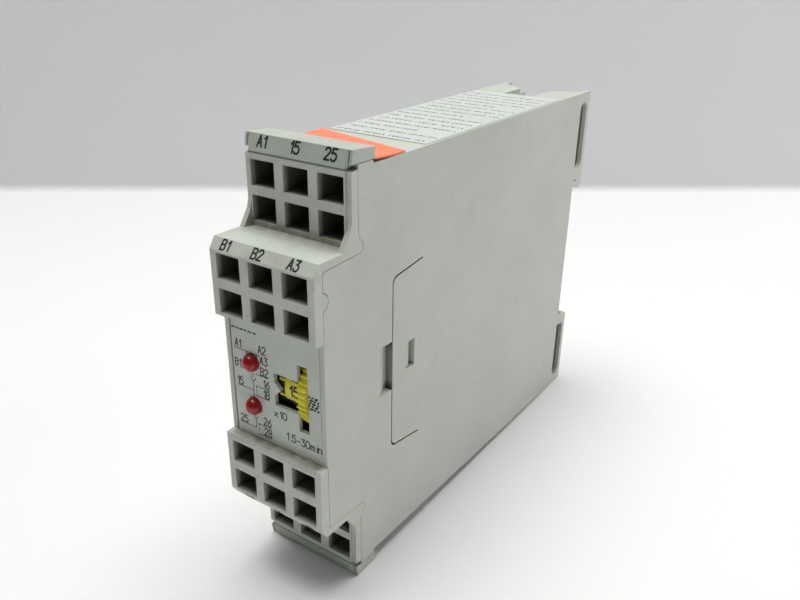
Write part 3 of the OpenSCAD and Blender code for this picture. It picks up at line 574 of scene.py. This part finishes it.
# The upper cap's face leans back 0.8 mm over its height; the inner terminals' bands are on their chamfers
CAP_WORDS = (("A1", -7.35), ("15", -0.3), ("25", 7.1))
UPPER_WORDS = (("B1", -8.1), ("B2", -1.0), ("A3", 6.7))
LOWER_WORDS = (("A2", -7.3), ("16", 0), ("18", 7.2))
band_of_words("upper_cap_print", local(0, 9.95, 41.85), (0, 0.8, 2.95), CAP_WORDS, -1.22, 1.85, 0.34)
band_of_words("upper_band_print", local(0, 0, 24.2), (0, 1.3, 1.9), UPPER_WORDS, 1.2, 1.75, 0.32)
band_of_words("lower_band_print", local(0, 0, -24.2), (0, -1.3, 1.9), LOWER_WORDS, -1.2, 1.75, 0.32)

# Front plate: terminal numbers, range and contact symbols, each at its x and z
PLATE_NUMBERS = (
    ("A1", -8.45, 6.85), ("A2", -2.75, 7.0), ("B1", -8.8, 2.9), ("A3", -2.5, 4.95), ("B2", -2.5, 2.75),
    ("15", -8.6, -0.7), ("16", -2.2, 0.45), ("18", -2.35, -1.65), ("25", -8.3, -8.5), ("26", -2.5, -7.4),
    ("28", -2.5, -9.6),
)
CONTACT_LINES = (
    [(-9.4, 5.75), (-3.4, 5.75)], [(-6.4, 5.75), (-6.4, 5.0)], [(-4.0, 5.75), (-4.0, 5.1)],
    [(-8.0, 2.0), (-6.2, 2.0)], [(-4.4, 1.8), (-1.6, 1.8)],
    [(-6.0, 0.9), (-5.3, 0.1), (-4.6, 0.9)], [(-5.3, 1.7), (-5.3, 0.9)], [(-5.3, 0.1), (-5.3, -3.1)],
    [(-9.2, -1.7), (-5.3, -1.7)], [(-4.6, -0.6), (-1.4, -0.6)], [(-4.6, -0.6), (-4.6, -1.1)],
    [(-4.6, -1.4), (-4.6, -1.9)], [(-4.6, -2.6), (-1.6, -2.6)], [(-4.6, -2.6), (-4.6, -2.2)],
    [(-5.9, -7.0), (-5.3, -7.7), (-4.7, -7.0)], [(-5.3, -6.5), (-5.3, -7.0)], [(-5.3, -7.7), (-5.3, -9.5)],
    [(-9.2, -9.5), (-5.3, -9.5)], [(-4.8, -8.45), (-1.6, -8.45)], [(-4.6, -8.45), (-4.6, -8.9)],
    [(-4.6, -9.2), (-4.6, -9.7)], [(-4.6, -10.6), (-1.7, -10.6)],
)
WORD_STROKE, SYMBOL_STROKE = 0.22, 0.15
on_plate = on_plane(Vector((0, PLATE_Y, MID_Z)), (1, 0, 0), (0, 0, 1))
plate = Print(on_plate)
for word, x, z in PLATE_NUMBERS:
    plate.word(word, x, z, 1.5, WORD_STROKE, 0.06, 0.72)
plate.word("x10", 0.85, -4.6, 1.35, WORD_STROKE, narrow=0.95)
plate.word("1.5-30min", 6.0, -8.4, 1.45, WORD_STROKE, narrow=0.86)
plate.strokes(CONTACT_LINES, SYMBOL_STROKE)
plate.piece("plate_print", M["ink"], "housing")

# Plain marks beside the dial, and a row of plain dashes near the plate's top, as start and length
MARK_ROWS, MARK_COLUMNS, MARK_PITCH = 5, 4, 0.56
MARK_X, MARK_Z, MARK_STROKE = 7.6, 1.45, 0.3
DASHES = ((-9.6, 0.55), (-8.55, 0.3), (-7.75, 0.75), (-6.5, 0.3), (-5.6, 0.55), (-4.5, 0.5))
DASH_Z, DASH_STROKE = 9.75, 0.32
small = Print(on_plate)
for row in range(MARK_ROWS):
    for col in range(MARK_COLUMNS):
        start = MARK_X + MARK_PITCH * col + 0.1 * ((row * 2 + col) % 3)
        rise = MARK_Z - MARK_PITCH * row
        lean = 0.22 + 0.08 * ((row + col) % 3)
        small.stroke([(start, rise - 0.14), (start + lean, rise + 0.12)], MARK_STROKE)
for start, length in DASHES:
    small.stroke([(start, DASH_Z), (start + length, DASH_Z)], DASH_STROKE)
small.piece("plate_dash_print", M["ink"], "housing")

# Top label: rows of plain ticks that can't be read, on a film that falls towards the front
LABEL_T = 0.12 * MM
LABEL_ROWS, FIRST_ROW, ROW_PITCH = 16, 1.6, 3.3
TALL_ROWS, SHORT_ROWS, SHORT_END = (0, 4, 5, 9, 14), (2, 7, 11), 4.0
TALL, LOW = 1.0, 0.72
ROW_HALF, TICK_PITCH, TICK_GAP = 9.6, 0.62, 0.1
TICK_STROKE, BAR_STROKE, BAR_LENGTH = 0.24, 0.16, 0.4
label_low, label_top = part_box("rating_label")
label_fall = Vector((0, label_low.y - label_top.y, label_low.z + LABEL_T - label_top.z))
label = Print(on_plane(Vector((0, label_top.y, label_top.z)), label_fall, (1, 0, 0)))
for row in range(LABEL_ROWS):
    at = (label_top.y - label_low.y) / MM - FIRST_ROW - row * ROW_PITCH
    size = TALL if row in TALL_ROWS else LOW
    u, i = -ROW_HALF, 0
    while u < ROW_HALF:
        gap = (row * 5 + i * 3) % 8 == 5
        if not gap and not (row in SHORT_ROWS and u > SHORT_END):
            lean = 0.22 * ((row * 3 + i * 7) % 3 - 1)
            tall = size * (0.5 + 0.14 * ((row + i * 5) % 4))
            label.stroke([(at - tall / 2, u), (at + tall / 2, u + lean)], TICK_STROKE)
            if (row + i) % 3 == 0:
                label.stroke([(at, u), (at, u + BAR_LENGTH)], BAR_STROKE)
        u += TICK_PITCH * size + TICK_GAP
        i += 1
label.piece("rating_label_rows", M["label_ink"], "housing")

# Dial: numbers, black blocks between the scale steps, and one dark sector. The number below 15 is worn.
STEP, STEPS, FIRST_V, MID_NUMBER, NUMBER_STEP, WORN = 3.0, range(-4, 6), 0.1, 15, 3, -1
BLOCK_LOW, BLOCK_HIGH, SECTOR_LOW, SECTOR_HIGH = 1.15, 1.35, -4.2, -1.85
BLOCK_U, EDGE_U, NUMBER_END_U = (-0.05, 1.25), -1.3, 5.05
DRUM_STEP = 0.35
dial = Print(on_drum, DRUM_STEP)
for i in STEPS:
    v = FIRST_V + STEP * i
    if i != WORN:
        dial.word(str(MID_NUMBER + NUMBER_STEP * i), 3.3, v, 1.95, 0.38)
    dial.patch(*BLOCK_U, v - BLOCK_LOW, v + BLOCK_HIGH)
dial.patch(EDGE_U, BLOCK_U[0], SECTOR_LOW, FIRST_V + STEP * STEPS[-1] + BLOCK_HIGH)
dial.patch(EDGE_U, NUMBER_END_U, SECTOR_LOW, SECTOR_HIGH)
dial.piece("dial_print", M["dial_ink"], "dial")
faint = Print(lambda u, v, h: on_drum(u, v, h + 2 * INK_T), DRUM_STEP)
faint.word(str(MID_NUMBER + NUMBER_STEP * WORN), 3.4, FIRST_V + STEP * WORN, 1.9, 0.3, narrow=0.7)
faint.piece("dial_print_faint", M["faint_ink"], "dial")

# ---------------------------------------------------------------- stage, light and camera

CAM_AT = Vector((0.08239, -0.13217, 0.10993))
CAM_RIGHT = Vector((0.82485, 0.56506, 0.01781)).normalized()
CAM_FORWARD = Vector((-0.50623, 0.75226, -0.4217)).normalized()
CAM_UP = CAM_RIGHT.cross(CAM_FORWARD).normalized()
# Focal length and middle of the view in pixels of the 800 by 600 picture, and the row where wall meets table
CAM_F, CAM_PX, CAM_PY = 766.6, 406.8, 315.0
IMAGE_W, IMAGE_H, SENSOR = 800, 600, 36.0
CLIP_START = 0.01
WALL_ROW = 190
# The object stands on the lower cap's edge and on the rear corner below, so the table leans a little
REST_FRONT = local(0, 9.95, -41.85)
REST_REAR = local(0, 103.5, -39.75)
FLOOR_UP = Vector((1, 0, 0)).cross((REST_REAR - REST_FRONT).normalized())
STAGE_REACH, FILLET, FILLET_STEPS = 3.0, 0.003, 10
TABLE_WHITE = (0.88, 0.88, 0.885)
WALL_PALE = (0.80, 0.805, 0.81)


def stage_material(name, colour, rough):
    m, nt, b = new_material(name)
    cloud = spread(nt, noise(nt, 3, 2), MOST, 0, 1)
    nt.links.new(mixed(nt, cloud, shade(colour, 0.985), colour), b.inputs["Base Color"])
    b.inputs["Roughness"].default_value = rough
    return m


def on_floor(u, v):
    """The point of the table seen at pixel (u, v)."""
    ray = CAM_FORWARD * CAM_F + CAM_RIGHT * (u - CAM_PX) - CAM_UP * (v - CAM_PY)
    return CAM_AT + ray * (FLOOR_UP.dot(REST_FRONT - CAM_AT) / FLOOR_UP.dot(ray))


foot = on_floor(IMAGE_W / 2, WALL_ROW)
side = (on_floor(IMAGE_W, WALL_ROW) - on_floor(0, WALL_ROW)).normalized()
back = FLOOR_UP.cross(side)
profile = [foot - back * STAGE_REACH, foot - back * FILLET]
for i in range(1, FILLET_STEPS + 1):
    turn = math.pi / 2 * i / FILLET_STEPS
    profile.append(foot - back * FILLET * (1 - math.sin(turn)) + FLOOR_UP * FILLET * (1 - math.cos(turn)))
profile.append(foot + FLOOR_UP * STAGE_REACH)


def sweep(name, points, material):
    """A strip of the stage along the profile's points, smooth where the table turns up into the wall."""
    verts = [p + side * s for p in points for s in (-STAGE_REACH, STAGE_REACH)]
    faces = [(2 * i, 2 * i + 1, 2 * i + 3, 2 * i + 2) for i in range(len(points) - 1)]
    mesh = bpy.data.meshes.new(name)
    mesh.from_pydata(verts, [], faces)
    mesh.materials.append(material)
    mesh.shade_smooth()
    o = bpy.data.objects.new(name, mesh)
    bpy.context.scene.collection.objects.link(o)


sweep("floor", profile[:2], stage_material("table_white", TABLE_WHITE, 0.6))
sweep("backdrop", profile[1:], stage_material("wall_pale", WALL_PALE, 0.9))


def area_light(name, at, aim, size, watts, colour):
    data = bpy.data.lights.new(name, "AREA")
    data.shape = "RECTANGLE"
    data.size = data.size_y = size
    data.energy = watts
    data.color = colour
    o = bpy.data.objects.new(name, data)
    bpy.context.scene.collection.objects.link(o)
    o.location = at
    o.rotation_euler = (aim - at).to_track_quat("-Z", "Y").to_euler()


middle = (cad_box[0] + cad_box[1]) / 2
wall_aim = foot + Vector((0, 0, 0.3))
area_light("overhead", middle + Vector((-0.2, 0.16, 0.75)), middle, 0.8, 14.5, (1.0, 0.99, 0.97))
area_light("right_window", middle + Vector((0.4, 0.45, 0.15)), middle, 0.35, 1.2, (1.0, 0.985, 0.97))
area_light("wall_wash", middle + Vector((-0.1, -0.1, 0.9)), wall_aim, 0.8, 1.0, (1, 1, 1))

world = bpy.data.worlds.new("soft_room")
bpy.context.scene.world = world
world.use_nodes = True
background = world.node_tree.nodes["Background"]
background.inputs["Color"].default_value = (0.93, 0.95, 1.0, 1)
background.inputs["Strength"].default_value = 0.12
bpy.context.scene.view_settings.view_transform = "Standard"

camera_data = bpy.data.cameras.new("camera")
camera_data.sensor_width = SENSOR
camera_data.lens = CAM_F * SENSOR / IMAGE_W
camera_data.shift_x = (IMAGE_W / 2 - CAM_PX) / IMAGE_W
camera_data.shift_y = (CAM_PY - IMAGE_H / 2) / IMAGE_W
camera_data.clip_start = CLIP_START
camera = bpy.data.objects.new("camera", camera_data)
bpy.context.scene.collection.objects.link(camera)
camera.matrix_world = Matrix((
    (CAM_RIGHT.x, CAM_UP.x, -CAM_FORWARD.x, CAM_AT.x),
    (CAM_RIGHT.y, CAM_UP.y, -CAM_FORWARD.y, CAM_AT.y),
    (CAM_RIGHT.z, CAM_UP.z, -CAM_FORWARD.z, CAM_AT.z),
    (0, 0, 0, 1),
))
bpy.context.scene.camera = camera
